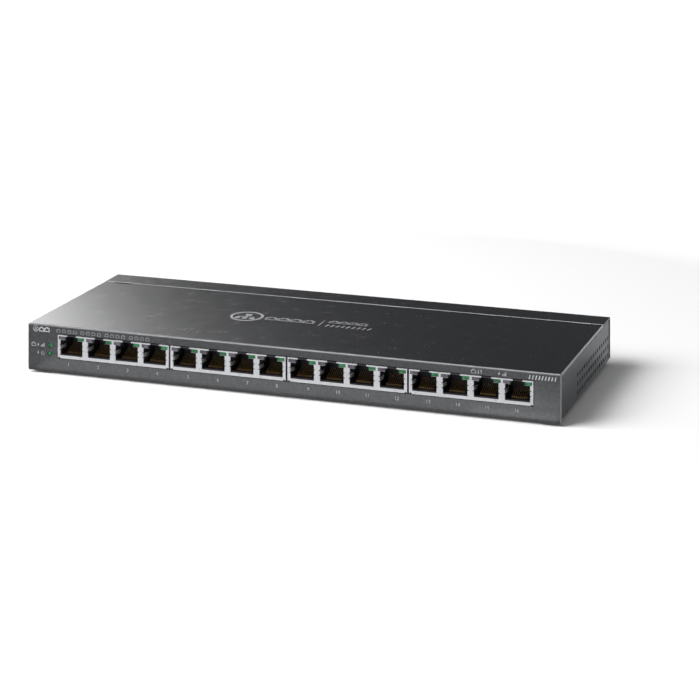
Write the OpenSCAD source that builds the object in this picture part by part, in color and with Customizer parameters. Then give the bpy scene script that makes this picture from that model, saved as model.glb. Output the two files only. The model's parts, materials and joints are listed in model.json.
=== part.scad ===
// Sixteen-port desktop network switch in a folded steel case.
// Origin: middle of the case's footprint, on the desk. +X runs along the ports, +Y to the back.

/* [Case] */
// Width of the case
case_w = 286; // [284:1:292]
// Depth of the case, from the front panel to the rear wall
case_d = 111.7; // [111:0.1:116]
// Height from the desk to the top of the cover
case_h = 25.4; // [25.4:0.1:28]
// Thickness of the case's steel sheet
sheet = 1; // [0.8:0.1:1]
// Outside radius of the bends in the sheet
bend_r = 1.2; // [1.1:0.1:1.6]
// Clearance between neighbouring sheets
sheet_gap = 0.2; // [0.1:0.05:0.3]
// Depth of the chassis strip behind the cover's rear seam
strip_d = 17.5; // [16:0.5:20]
// Width of each hook tab on the cover's rear edge
tab_w = 9; // [6:0.5:11]

/* [Vents] */
// Vent holes in each row
vent_cols = 15; // [8:1:15]
// Rows of vent holes
vent_rows = 3; // [1:1:3]
// Distance between holes along a row
vent_pitch_y = 5; // [4:0.1:5]
// Distance between rows
vent_pitch_z = 4.5; // [3.5:0.1:4.5]
// Diameter of a vent hole
vent_d = 2.3; // [1.5:0.1:3]

/* [Feet and wall mounting] */
// Height of the case's underside above the desk
foot_drop = 1.2; // [1:0.1:2]
// Diameter of a rubber foot
foot_d = 12; // [8:0.5:14]
// Distance between the two wall-mounting keyholes
keyhole_span = 160; // [120:5:170]
// Diameter of a keyhole's round entry
keyhole_entry_d = 8.5; // [8:0.1:9.5]
// Width of a keyhole's narrow slot
keyhole_slot_w = 4.4; // [4:0.1:4.6]

/* [Ports] */
// Width of one port block
block_w = 63; // [63:0.1:63.2]
// Gap between neighbouring blocks
block_gap = 1; // [0.8:0.1:1.2]
// Height of a port block
block_h = 12.1; // [12.1:0.1:12.3]
// Depth of a port block
block_d = 21.5; // [21:0.5:22]
// How far the bank sits to the right of the case's middle
bank_shift = 1.75; // [0:0.25:2]
// Distance between neighbouring ports in one block
port_pitch = 15.75; // [15.75:0.01:15.8]

/* [Mode switches] */
// Travel of a mode slider, from low to high
slider_travel = 2; // [1:0.1:2]
// Distance between neighbouring sliders
slider_pitch = 4; // [4:0.1:4.5]

/* [Hidden] */
$fn = 48;
eps = 0.01;                 // overrun that keeps a cut clear of the face it leaves

// Case planes
front_y = -case_d / 2;
rear_y = case_d / 2;
seam_y = rear_y - strip_d;
side_x = case_w / 2;
wall_inset = 0.3;           // side walls sit this far inside the cover's edges
wall_x = side_x - wall_inset;
flange_top = case_h - sheet - sheet_gap;
floor_low = foot_drop + sheet + sheet_gap / 2;
floor_top = floor_low + sheet;
panel_back = front_y + sheet;
wall_front = panel_back + 0.3;
return_d = 9;               // depth of the cover's flange under the floor
return_half_w = side_x - 11;
side_flange_w = 6;
seam_gap = 0.35;

// Rear hook tabs of the cover, as distances from the case's middle
tab_xs = [for (x = [26.5, 79.5, 131], s = [-1, 1]) s * x];
tab_drop = sheet + sheet_gap;
tab_slope_d = 2.2;          // length of the slope that takes a tab down under the strip
tab_reach = 5;
tab_relief = 0.5;           // slit beside each tab

// Cover screws, countersunk from below into tapped necks in the floor
screw_hole_r = 1.5;
screw_r = 1.44;
cover_screw_y = front_y + 5.4;
cover_screw_xs = [-108, -36, 36, 108];
screw_head_r = 2.7;
screw_head_h = 1;
head_gap = 0.05;            // play of a screw head in its countersink
screw_l = 4.4;
recess_w = 3;               // across the cross recess of every screw
neck_r = 2.6;
neck_h = 1.8;
washer_t = 0.6;

// Circuit board
board_t = 1.6;
board_low = 7.2;
board_top = board_low + board_t;
board_half_w = side_x - 6.5;
board_front = front_y + 2.25;
board_back = rear_y - 2.85;
standoffs = [[-131.5, -28], [1.75, -13], [131.5, -28], [-131.5, 44], [0, 44], [131.5, 44]];
standoff_r = 2.75;
board_hole_r = 1.7;
pin_tip = board_low - 1.3;  // solder pins end here, under the board

// Port blocks
block_front = front_y - 0.25;
block_back = block_front + block_d;
block_low = board_top;
block_top = block_low + block_h;
block_count = 4;            // each block's pieces have their own nodes
bank_w = block_count * block_w + (block_count - 1) * block_gap;
bank_margin = 0.35;         // gap between the panel opening and the blocks
port_count = 4;
shield_t = 0.25;
face_t = 0.3;
skin_gap = 0.05;            // fit between the shield and its housing
port_half_w = 6.3;
port_low = block_low + 1.6;
port_high = block_low + 9.6;
window_in = 3.6;            // inner and outer edges of an indicator window, from the port's middle
window_out = 7.3;
window_low = block_low + 9.7;
window_high = block_low + 11.4;
latch_half_w = 2.45;
latch_top = window_high + 0.1;
notch_d = 2;                // how far the latch notch runs back into the shield's roof
finger_low = block_low + 4.75;
finger_high = block_low + 6.75;
finger_slit = 0.5;
finger_d = 6.5;
finger_bulge = 0.75;
cavity_half_w = 6.1;
cavity_back = block_front + 14;
cavity_low = port_low + 0.6;
valley_half_w = 0.35;       // V groove between two ports, where the shield folds back on itself
valley_d = 0.2;
contact_count = 8;
contact_pitch = 1.02;
contact_w = 0.36;
contact_t = 0.26;
contact_floor = port_low + 0.15;
slot_w = 0.62;              // slot in the housing for one spring
slot_front = block_front + 2.7;
tail_ys = [block_front + 15.5, block_front + 18];
tail_w = 0.45;
tail_hole_r = 0.42;
lens_d = 11;
leg_w = 1.2;
leg_ys = [block_front + 7, block_front + 19];
leg_hole_r = 0.75;

// Status lights beside the ports
status_x = -130.5;
status_zs = [10.6, 14.8];
status_r = 1.1;
status_body_back = front_y + 8.5;
status_lead_w = 0.5;
status_play = 0.2;          // gap around a light in the panel

// Rear connectors and controls
jack_x = 108;
jack_w = 9;
jack_h = 11;
jack_front = rear_y - 14.6;
jack_face = rear_y - 0.25;
jack_axis_z = board_top + 6.2;
jack_mouth_r = 3.25;
jack_pin_r = 1.25;
jack_pin_root_r = 1.6;
jack_bore_back = jack_front + 4;
jack_pin_back = jack_front + 0.8;
jack_spring_y = jack_front + 6; // leg of the sleeve spring
jack_leg_w = 0.8;
jack_hole_r = 0.8;
switch_x = 84;
switch_half_w = 7.2;
switch_face = rear_y - sheet - 0.25;
switch_depth = 7.6;
switch_hole_r = 0.5;
switch_contact_h = 2.8;     // height of a fixed contact above the board
frame_depth = 3.7;
frame_lip = 1.6;            // front of the frame, which keeps the carriers in
knob_w = 1.7;
knob_h = 2.4;
carrier_w = 2.7;
carrier_h = 3.6;
slide_gap = 0.15;           // clearance around a sliding knob and its carrier
knob_low = board_top + 2.4;
carrier_low = knob_low - (carrier_h - knob_h) / 2;
knob_tip = rear_y + 0.6;
switch_h = 2 * (knob_low - board_top) + knob_h + slider_travel;
ground_x = 125;
ground_z = 14.5;
lock_x = -126;
lock_z = 13.5;
lock_w = 7;
lock_h = 3;

// Electronics: sizes that several pieces share, and places on the board
chip_h = 1.4;
pad_t = 0.5;
switch_chip_w = 20;
phy_chip_w = 16;
transformer_y = front_y + 28.5;
diode_y = front_y + 36.6;
switch_chip_at = [52, 2];
phy_chip_at = [-52, 2];
controller_places = [[-22, 4], [22, 4]];
flash_at = [82, 8];
crystal_at = [82, -6];
capacitor_places = [[88, 34], [76, 34], [64, 34]];
inductor_places = [[28, 36], [44, 36]];
transistor_places = [[-30, 38], [-15, 38], [14, 38]];
fuse_at = [108, 30];

function block_x(n) = bank_shift + (n - (block_count + 1) / 2) * (block_w + block_gap);
function port_x(p) = (p - (port_count + 1) / 2) * port_pitch;
function contact_x(c) = (c - (contact_count + 1) / 2) * contact_pitch;

// ---------------------------------------------------------------- shared shapes

// Box between two opposite corners
module box(low, high) {
  translate(low) cube(high - low);
}

// Rectangle between two opposite corners
module rect(low, high) {
  translate(low) square(high - low);
}

// Extrudes a (Y, Z) outline from x0 to x1
module along_x(x0, x1) {
  translate([x0, 0, 0]) rotate([90, 0, 90]) linear_extrude(x1 - x0) children();
}

// Extrudes an (X, Z) outline from y0 to y1
module along_y(y0, y1) {
  translate([0, y1, 0]) rotate([90, 0, 0]) linear_extrude(y1 - y0) children();
}

// Round rod along Y
module rod_y(r, y0, y1) {
  translate([0, y0, 0]) rotate([-90, 0, 0]) cylinder(r = r, h = y1 - y0);
}

// Section of a right-angle bend about its centre, filling the quadrant that starts at angle a
module bend(a) {
  rotate(a) intersection() {
    difference() {
      circle(bend_r);
      circle(bend_r - sheet);
    }
    square(bend_r);
  }
}

module at_block_ports() {
  for (p = [1:port_count]) translate([port_x(p), 0, 0]) children();
}

// Cross recess in a screw head whose top is at z = 0
module cross_recess(size, depth) {
  for (a = [0, 90]) rotate(a) translate([-size / 2, -size / 8, -depth]) cube([size, size / 4, depth + eps]);
}

// ---------------------------------------------------------------- case

module cover_profile() {
  rect([front_y + bend_r, case_h - sheet], [seam_y, case_h]);
  translate([front_y + bend_r, case_h - bend_r]) bend(90);
  rect([front_y, foot_drop + bend_r], [panel_back, case_h - bend_r]);
}

module return_profile() {
  translate([front_y + bend_r, foot_drop + bend_r]) bend(180);
  rect([front_y + bend_r, foot_drop], [front_y + return_d, foot_drop + sheet]);
}

module tab_profile() {
  slope_y = seam_y - tab_slope_d;
  tab_top = case_h - tab_drop;
  tab_end = seam_y + tab_reach;
  under = sheet / 2;          // the slope's underside starts this much further forward
  polygon([[slope_y, case_h], [seam_y, tab_top], [tab_end, tab_top], [tab_end, tab_top - sheet],
           [seam_y - under, tab_top - sheet], [slope_y - under, case_h - sheet], [slope_y - under, case_h]]);
}

module countersink(x) {
  rim_r = screw_head_r + 0.15;
  passage_r = screw_hole_r + 0.2;
  translate([x, cover_screw_y, foot_drop - eps]) {
    cylinder(r1 = rim_r, r2 = rim_r - sheet, h = sheet);
    cylinder(r = passage_r, h = sheet + 1);
  }
}

// Waste outside the rounded lower right corner of the front panel, in (X, Z)
module panel_corner_waste() {
  corner_r = 1;
  translate([side_x - corner_r, foot_drop + corner_r]) difference() {
    translate([0, -corner_r - eps]) square([corner_r + eps, corner_r + eps]);
    circle(corner_r);
  }
}

// Waste above and below a hook tab's slope, in (Y, Z)
module tab_waste() {
  slope_y = seam_y - tab_slope_d;
  under = sheet / 2;
  low = case_h - sheet;
  polygon([[slope_y, case_h], [slope_y, case_h + eps], [seam_y + eps, case_h + eps],
           [seam_y + eps, case_h - tab_drop], [seam_y, case_h - tab_drop]]);
  polygon([[slope_y - under, low], [seam_y - under, low - tab_drop], [slope_y - sheet, low - tab_drop]]);
}

// One bent sheet: top plate, front panel and the flange that hooks under the floor
module top_cover() {
  color("#4a4c50") difference() {
    union() {
      along_x(-side_x, side_x) cover_profile();
      along_x(-return_half_w, return_half_w) return_profile();
      for (s = [-1, 1]) {
        x0 = s > 0 ? return_half_w : -side_x;
        x1 = s > 0 ? side_x : -return_half_w;
        box([x0, front_y, foot_drop], [x1, panel_back, foot_drop + bend_r]);
      }
      for (x = tab_xs) along_x(x - tab_w / 2, x + tab_w / 2) tab_profile();
    }
    // slits beside the tabs, and the room above each tab's slope
    for (x = tab_xs) {
      for (s = [-1, 1]) {
        xm = x + s * (tab_w + tab_relief) / 2;
        box([xm - tab_relief / 2, seam_y - tab_slope_d - sheet, case_h - sheet - eps],
            [xm + tab_relief / 2, seam_y + eps, case_h + eps]);
      }
      along_x(x - tab_w / 2 - eps, x + tab_w / 2 + eps) tab_waste();
    }
    // one long opening for the whole port bank
    box([bank_shift - bank_w / 2 - bank_margin, front_y - eps, block_low - bank_margin],
        [bank_shift + bank_w / 2 + bank_margin, panel_back + eps, block_top + bank_margin]);
    for (z = status_zs)
      translate([status_x, 0, z]) rod_y(status_r + status_play, front_y - eps, panel_back + eps);
    for (x = cover_screw_xs) countersink(x);
    along_y(front_y - eps, panel_back + eps) {
      panel_corner_waste();
      mirror([1, 0]) panel_corner_waste();
    }
  }
}

// Right half of the floor, one side wall and its top flange
module channel_half() {
  rect([-eps, floor_low], [wall_x - bend_r, floor_top]);
  translate([wall_x - bend_r, floor_low + bend_r]) bend(270);
  rect([wall_x - sheet, floor_low + bend_r], [wall_x, flange_top - bend_r]);
  translate([wall_x - bend_r, flange_top - bend_r]) bend(0);
  rect([wall_x - side_flange_w, flange_top - sheet], [wall_x - bend_r, flange_top]);
}

module rear_wall_profile() {
  rect([rear_y - sheet, floor_low + bend_r], [rear_y, case_h - bend_r]);
  translate([rear_y - bend_r, case_h - bend_r]) bend(0);
  rect([seam_y + seam_gap, case_h - sheet], [rear_y - bend_r, case_h]);
}

// Turned-in foot of the rear wall, welded to the floor
module rear_foot_profile() {
  rear_foot_d = 4;
  translate([rear_y - bend_r, floor_low + bend_r]) bend(270);
  rect([rear_y - rear_foot_d, floor_low], [rear_y - bend_r, floor_top]);
}

module vent_cuts() {
  vent_last_y = rear_y - 4.7;
  vent_high_z = 15.2;
  for (row = [0:vent_rows - 1], col = [0:vent_cols - 1])
    translate([-side_x, vent_last_y - col * vent_pitch_y, vent_high_z - row * vent_pitch_z])
      rotate([0, 90, 0]) cylinder(d = vent_d, h = case_w);
}

// Keyhole whose narrow slot points to the back
module keyhole_cut(x) {
  slot_l = 8;
  translate([x, 0, floor_low - eps]) linear_extrude(sheet + 2 * eps) {
    circle(d = keyhole_entry_d);
    translate([-keyhole_slot_w / 2, 0]) square([keyhole_slot_w, slot_l]);
    translate([0, slot_l]) circle(d = keyhole_slot_w);
  }
}

// Windows for the jack and the switches, the grounding screw's hole and the lock slot
module rear_wall_cuts() {
  window_gap = 0.25;
  finger_room = 0.8;          // space above and below the knobs
  lock_r = lock_h / 2;
  lock_end = lock_w / 2 - lock_r;
  y0 = rear_y - sheet - eps;
  y1 = rear_y + eps;
  box([jack_x - jack_w / 2 - window_gap, y0, board_top - window_gap],
      [jack_x + jack_w / 2 + window_gap, y1, board_top + jack_h + window_gap]);
  box([switch_x - 1.5 * slider_pitch, y0, knob_low - finger_room],
      [switch_x + 1.5 * slider_pitch, y1, knob_low + knob_h + slider_travel + finger_room]);
  translate([ground_x, 0, ground_z]) rod_y(screw_hole_r, y0, y1);
  for (s = [-1, 1]) translate([lock_x + s * lock_end, 0, lock_z]) rod_y(lock_r, y0, y1);
  box([lock_x - lock_end, y0, lock_z - lock_r], [lock_x + lock_end, y1, lock_z + lock_r]);
}

// Floor, side walls, rear wall and the strip on top at the back
module chassis() {
  weld_w = 6;
  weld_end = 2;               // the weld flange stops this far from the floor and the top flange
  side_back = rear_y - sheet - 0.25;
  color("#505256") difference() {
    union() {
      along_y(wall_front, side_back) {
        channel_half();
        mirror([1, 0]) channel_half();
      }
      along_x(-side_x, side_x) rear_wall_profile();
      along_x(-wall_x + bend_r, wall_x - bend_r) rear_foot_profile();
      // flanges of the side walls, welded to the rear wall
      for (s = [-1, 1]) {
        x0 = s > 0 ? wall_x - sheet - weld_w : -wall_x + sheet / 2;
        box([x0, rear_y - 2 * sheet, floor_top + weld_end],
            [x0 + weld_w + sheet / 2, rear_y - sheet, flange_top - weld_end]);
      }
      for (x = cover_screw_xs)
        translate([x, cover_screw_y, floor_low]) cylinder(r = neck_r, h = sheet + neck_h);
    }
    for (x = cover_screw_xs)
      translate([x, cover_screw_y, floor_low - eps]) cylinder(r = screw_hole_r, h = sheet + neck_h + 1);
    for (p = standoffs) translate([p.x, p.y, floor_low - eps]) cylinder(r = screw_hole_r, h = sheet + 1);
    vent_cuts();
    for (s = [-1, 1]) keyhole_cut(s * keyhole_span / 2);
    rear_wall_cuts();
  }
}

// Countersunk screw that points up, with its recess in the underside
module cover_screw() {
  difference() {
    union() {
      cylinder(r1 = screw_head_r, r2 = screw_head_r - screw_head_h, h = screw_head_h);
      cylinder(r = screw_r, h = screw_l);
    }
    rotate([180, 0, 0]) cross_recess(recess_w, 0.7);
  }
}

module cover_screws() {
  color("#3c3e42") for (x = cover_screw_xs) translate([x, cover_screw_y, foot_drop + head_gap]) cover_screw();
}

module rubber_feet() {
  edge = 0.5;
  foot_xs = [-122, 122];
  foot_ys = [-38, 40];
  color("#26272a") for (x = foot_xs, y = foot_ys) translate([x, y, 0]) {
    cylinder(r1 = foot_d / 2 - edge, r2 = foot_d / 2, h = edge);
    translate([0, 0, edge]) cylinder(d = foot_d, h = floor_low - edge);
  }
}

// ---------------------------------------------------------------- board and fasteners

// Thin sheet under the board, cut away around the standoffs and the keyholes
module insulator_sheet() {
  thickness = 0.25;
  half_w = side_x - 16;
  key_room = 20;
  key_room_y = 4;
  color("#d9d9d2") translate([0, 0, floor_top]) linear_extrude(thickness) difference() {
    rect([-half_w, front_y + 11], [half_w, rear_y - 6]);
    for (p = standoffs) translate([p.x, p.y]) circle(standoff_r + 1);
    for (s = [-1, 1]) translate([s * keyhole_span / 2, key_room_y]) square(key_room, center = true);
  }
}

// Lets every lead of the port blocks, the jack and the switches through the board
module board_holes() {
  for (p = standoffs) translate([p.x, p.y]) circle(board_hole_r);
  for (n = [1:block_count]) {
    for (p = [1:port_count], c = [1:contact_count])
      translate([block_x(n) + port_x(p) + contact_x(c), tail_ys[c % 2]]) circle(tail_hole_r, $fn = 24);
    for (s = [-1, 1], y = leg_ys)
      translate([block_x(n) + s * (block_w - shield_t) / 2, y]) circle(leg_hole_r);
  }
  for (p = jack_legs()) translate(p) circle(jack_hole_r);
  for (i = [1:3], k = [-1:1]) translate([slider_x(i), switch_lead_y(k)]) circle(switch_hole_r);
  for (i = [0, 1]) translate([status_x, status_lead_y(i)]) circle(status_lead_w);
}

module main_board() {
  color("#1f5a36") translate([0, 0, board_low]) linear_extrude(board_t) difference() {
    rect([-board_half_w, board_front], [board_half_w, board_back]);
    board_holes();
  }
}

module board_standoffs() {
  color("#b9bcc0") for (p = standoffs) translate([p.x, p.y, floor_top]) difference() {
    cylinder(r = standoff_r, h = board_low - floor_top);
    translate([0, 0, -eps]) cylinder(r = screw_hole_r, h = board_low);
  }
}

module pan_screw(length, head_r = 2.8, head_h = 2) {
  difference() {
    union() {
      cylinder(r = head_r, h = head_h * 0.6);
      translate([0, 0, head_h * 0.6]) cylinder(r1 = head_r, r2 = head_r * 0.72, h = head_h * 0.4);
      translate([0, 0, -length]) cylinder(r = screw_r, h = length + eps);
    }
    translate([0, 0, head_h]) cross_recess(recess_w, 1.1);
  }
}

module board_screws() {
  color("#c4c6c9") for (p = standoffs) translate([p.x, p.y, board_top]) pan_screw(screw_l);
}

// ---------------------------------------------------------------- port blocks

// Grounding finger: a thin bow that bulges into the port from one side of its opening
module finger(side) {
  bow_r = (finger_d * finger_d / 4 + finger_bulge * finger_bulge) / (2 * finger_bulge);
  root = face_t / 2;          // how far the finger runs into the face plate
  reach = finger_bulge + shield_t;
  translate([side * (port_half_w + bow_r - finger_bulge), block_front + face_t + finger_d / 2, finger_low])
    linear_extrude(finger_high - finger_low) intersection() {
      difference() {
        circle(bow_r, $fn = 96);
        circle(bow_r - shield_t, $fn = 96);
      }
      translate([side > 0 ? -bow_r : bow_r - reach, -finger_d / 2 - root]) square([reach, finger_d + root]);
    }
}

// Front outline of the shield, in (X, Z): plug openings, indicator windows and latch notches
module shield_openings() {
  at_ports_2d() {
    rect([-port_half_w, port_low], [port_half_w, port_high]);
    for (s = [-1, 1], z = [finger_low - finger_slit, finger_high])
      translate([s * port_half_w, z + finger_slit / 2]) square([1.2, finger_slit], center = true);
    for (s = [-1, 1])
      rect([s > 0 ? window_in : -window_out, window_low - eps],
           [s > 0 ? window_out : -window_in, window_high]);
    rect([-latch_half_w, port_high - 1], [latch_half_w, block_top + eps]);
    rect([-window_in - eps, port_high - eps], [window_in + eps, window_high]);
  }
}

module at_ports_2d() {
  for (p = [1:port_count]) translate([port_x(p), 0]) children();
}

// Folded tin can around the block, open below, with legs soldered into the board
module port_shield(n) {
  corner_w = 1.3;             // notch in the face plate's lower corners
  corner_h = 0.55;
  color("#d8dade") translate([block_x(n), 0, 0]) {
    difference() {
      box([-block_w / 2, block_front, block_low], [block_w / 2, block_back, block_top]);
      box([-block_w / 2 + shield_t, block_front + face_t, block_low - eps],
          [block_w / 2 - shield_t, block_back - shield_t, block_top - shield_t]);
      along_y(block_front - eps, block_front + face_t + eps) shield_openings();
      // latch notches carry on through the first stretch of the roof
      at_block_ports() box([-latch_half_w, block_front - eps, block_top - 1],
                           [latch_half_w, block_front + notch_d, block_top + eps]);
      for (s = [-1, 1]) translate([s * block_w / 2, block_front, block_low])
        cube([2 * corner_w, 2 * face_t + 2 * eps, 2 * corner_h], center = true);
      for (p = [1:port_count - 1])
        translate([port_x(p) + port_pitch / 2, block_front, port_low]) linear_extrude(port_high - port_low)
          polygon([[-valley_half_w, -eps], [valley_half_w, -eps], [valley_half_w, 0],
                   [0, valley_d], [-valley_half_w, 0]]);
    }
    at_block_ports() for (s = [-1, 1]) finger(s);
    for (s = [-1, 1], y = leg_ys) {
      x0 = s > 0 ? block_w / 2 - shield_t : -block_w / 2;
      box([x0, y - leg_w / 2, pin_tip], [x0 + shield_t, y + leg_w / 2, block_low + 1]);
    }
  }
}

// Space that one plug, its latch and the contacts take out of the housing
module port_cavity() {
  housing_front = block_front + face_t;
  tail_half_w = contact_count * contact_pitch / 2 + 0.3;
  box([-cavity_half_w, housing_front - 1, cavity_low], [cavity_half_w, cavity_back, port_high]);
  box([-latch_half_w - 0.8, housing_front - 1, port_high - eps],
      [latch_half_w + 0.8, cavity_back - 3, latch_top]);
  // a slot under each spring, and the way out for the tails
  for (c = [1:contact_count])
    box([contact_x(c) - slot_w / 2, slot_front, contact_floor - 0.1],
        [contact_x(c) + slot_w / 2, cavity_back, cavity_low + eps]);
  box([-tail_half_w, cavity_back - eps, contact_floor - 0.1],
      [tail_half_w, block_back - 2, contact_floor + 0.6]);
  for (y = tail_ys) box([-tail_half_w, y - 0.5, block_low - eps], [tail_half_w, y + 0.5, contact_floor]);
  // pockets for the grounding fingers and the indicator lenses
  box([-port_half_w - 0.45, housing_front - 1, finger_low - 0.2],
      [port_half_w + 0.45, housing_front + finger_d + 0.2, finger_high + 0.2]);
  for (s = [-1, 1])
    box([s > 0 ? window_in - 0.1 : -window_out - 0.1, housing_front - 1, window_low - 0.1],
        [s > 0 ? window_out + 0.1 : -window_in + 0.1, housing_front + lens_d + 0.1, window_high + 0.1]);
}

module port_housing(n) {
  inset = shield_t + skin_gap;
  color("#1d1c20") translate([block_x(n), 0, 0]) difference() {
    union() {
      box([-block_w / 2 + inset, block_front + face_t + skin_gap, block_low + skin_gap],
          [block_w / 2 - inset, block_back - inset, block_top - inset]);
      // lips that fill the shield's latch notches
      at_block_ports() box([-latch_half_w + skin_gap, block_front + skin_gap, latch_top],
                           [latch_half_w - skin_gap, block_front + notch_d - skin_gap, block_top]);
    }
    at_block_ports() port_cavity();
    // seats for the shield's legs
    for (s = [-1, 1], y = leg_ys)
      translate([s * (block_w / 2 - shield_t), y, block_low]) cube([0.4, leg_w + 0.4, 3], center = true);
  }
}

// Spring wire in (Y, Z): along the floor to the front, round a bend, and back up into the port
module contact_profile(tail_y) {
  bend_y = block_front + 4;
  tip_y = block_front + 10.5;
  tip_z = port_low + 4.1;
  low = contact_floor;
  rise = 1.1;
  rect([bend_y, low], [tail_y + tail_w / 2, low + contact_t]);
  rect([tail_y - tail_w / 2, pin_tip], [tail_y + tail_w / 2, low + eps]);
  translate([bend_y, low + rise / 2 + contact_t / 2]) intersection() {
    difference() {
      circle((rise + contact_t) / 2);
      circle((rise - contact_t) / 2);
    }
    translate([-rise, -rise]) square([rise, 2 * rise]);
  }
  polygon([[bend_y - eps, low + rise], [bend_y - eps, low + rise + contact_t],
           [tip_y, tip_z + contact_t], [tip_y, tip_z]]);
}

module port_contacts(n) {
  color("#c89b3c") translate([block_x(n), 0, 0]) at_block_ports() for (c = [1:contact_count])
    along_x(contact_x(c) - contact_w / 2, contact_x(c) + contact_w / 2) contact_profile(tail_ys[c % 2]);
}

// Indicator lenses on one side of every port in a block
module port_lenses(n, side) {
  lens_front = block_front + 0.15;
  lens_back = block_front + face_t + lens_d;
  translate([block_x(n), 0, 0]) at_block_ports() {
    x0 = side > 0 ? window_in + 0.1 : -window_out + 0.1;
    x1 = x0 + window_out - window_in - 0.2;
    box([x0, lens_front, window_low + 0.1], [x1, lens_back, window_high - 0.1]);
  }
}

module link_lenses(n) { color("#8a8c90") port_lenses(n, -1); }
module power_lenses(n) { color("#1fa04a") port_lenses(n, 1); }

// ---------------------------------------------------------------- status lights

function status_lead_y(i) = status_body_back - 0.5 + 2.5 * i;

module status_led_holder() {
  hole_r = status_r + skin_gap;
  half_w = 2.3;
  color("#1b1b1e") translate([status_x, 0, 0]) difference() {
    box([-half_w, front_y + 3, board_top], [half_w, status_body_back + 3, status_zs[1] + 2.4]);
    for (i = [0, 1]) {
      translate([0, 0, status_zs[i]]) rod_y(hole_r, front_y + 2, status_body_back + 0.1);
      translate([0, 0, status_zs[i]])
        rod_y(status_lead_w, status_body_back, status_lead_y(i) + status_lead_w);
      translate([0, status_lead_y(i), board_top - eps])
        cylinder(r = status_lead_w, h = status_zs[i] - board_top);
    }
  }
}

// Round light with a domed tip and one lead down through the board
module status_led(i) {
  z = status_zs[i];
  tip_y = front_y - 0.5;
  half = status_lead_w / 2;
  translate([0, 0, z]) {
    rod_y(status_r, tip_y + status_r, status_body_back);
    translate([0, tip_y + status_r, 0]) sphere(status_r);
  }
  box([-half, status_lead_y(i) - half, pin_tip], [half, status_lead_y(i) + half, z]);
  box([-half, status_body_back - 1, z - half], [half, status_lead_y(i) + half, z + half]);
}

module status_leds() {
  color("#35c262") translate([status_x, 0, 0]) for (i = [0, 1]) status_led(i);
}

// ---------------------------------------------------------------- electronics

// Flat package with a row of leads down two sides, standing on the board
module gull_package(w, d, h, leads, lead_pitch) {
  stand = 0.1;
  foot = 1;
  translate([-w / 2, -d / 2, board_top + stand]) cube([w, d, h]);
  for (i = [0:leads - 1], s = [-1, 1]) {
    x = (i - (leads - 1) / 2) * lead_pitch;
    y0 = s > 0 ? d / 2 - 0.2 : -d / 2 - foot;
    box([x - lead_pitch / 4, y0, board_top], [x + lead_pitch / 4, y0 + foot + 0.2, board_top + stand + 0.3]);
  }
}

module lan_transformers() {
  color("#232326") for (n = [1:block_count], p = [1:port_count])
    translate([block_x(n) + port_x(p), transformer_y, 0]) gull_package(12, 7.2, 5.6, 6, 1.8);
}

module port_diodes() {
  color("#2a2a2c") for (n = [1:block_count], p = [1:port_count])
    translate([block_x(n) + port_x(p), diode_y, 0]) gull_package(2.6, 4.3, 2.1, 1, 2.8);
}

// Square plate centred on a place on the board
module square_plate(at, size, low, thickness) {
  translate([at.x - size / 2, at.y - size / 2, low]) cube([size, size, thickness]);
}

module switch_chip() { color("#18181a") square_plate(switch_chip_at, switch_chip_w, board_top, chip_h); }
module phy_chip() { color("#18181a") square_plate(phy_chip_at, phy_chip_w, board_top, chip_h); }

module thermal_pads() {
  color("#9fb4bd") {
    square_plate(switch_chip_at, switch_chip_w, board_top + chip_h, pad_t);
    square_plate(phy_chip_at, phy_chip_w, board_top + chip_h, pad_t);
  }
}

// Extruded comb: a base with upright fins along Y
module comb_heatsink(at, size, fins) {
  base = 2;
  height = 8;
  fin_t = 1.2;
  low = board_top + chip_h + pad_t;
  step = (size - fin_t) / (fins - 1);
  translate([at.x, at.y, 0]) along_y(-size / 2, size / 2) {
    rect([-size / 2, low], [size / 2, low + base]);
    for (i = [0:fins - 1])
      rect([-size / 2 + i * step, low + base - eps], [-size / 2 + i * step + fin_t, low + height]);
  }
}

module switch_heatsink() { color("#33353a") comb_heatsink(switch_chip_at, 36, 9); }
module phy_heatsink() { color("#33353a") comb_heatsink(phy_chip_at, 28, 7); }

module power_controllers() {
  color("#1c1c1f") for (at = controller_places) translate(at) gull_package(9, 9, 1, 8, 1);
}

module flash_chip() { color("#1c1c1f") translate(flash_at) gull_package(5, 5.2, 1.7, 4, 1.27); }

// Metal can with round ends
module crystal() {
  end_r = 2.2;
  straight_w = 6.8;
  can_h = 3.5;
  color("#c9cbce") translate([crystal_at.x, crystal_at.y, board_top]) linear_extrude(can_h) {
    for (s = [-1, 1]) translate([s * straight_w / 2, 0]) circle(end_r);
    square([straight_w, 2 * end_r], center = true);
  }
}

// Electrolytic can with a crimped groove near its foot and a scored top
module bulk_capacitors() {
  can_r = 5;
  can_h = 12.5;
  groove_z = 1.4;
  groove_r = 0.7;
  groove_d = 0.35;
  score_l = 6;
  score_w = 0.3;
  color("#3a3f55") for (at = capacitor_places) translate([at.x, at.y, board_top]) difference() {
    cylinder(r = can_r, h = can_h);
    translate([0, 0, groove_z]) rotate_extrude() translate([can_r + groove_r - groove_d, 0]) circle(groove_r);
    for (a = [0, 60, 120]) rotate(a) translate([-score_l / 2, -score_w / 2, can_h - score_w])
      cube([score_l, score_w, 1]);
  }
}

// Shielded block with cut corners
module power_inductors() {
  width = 12;
  height = 6;
  corner_cut = 2.4;
  color("#55575b") for (at = inductor_places) translate([at.x, at.y, board_top]) {
    linear_extrude(height) difference() {
      square(width, center = true);
      for (a = [0, 90, 180, 270])
        rotate(a) translate([width / 2, width / 2]) rotate(45) square(corner_cut, center = true);
    }
  }
}

module power_transistors() {
  color("#202023") for (at = transistor_places) translate(at) gull_package(6.5, 6.1, 2.3, 2, 4.6);
}

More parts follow.
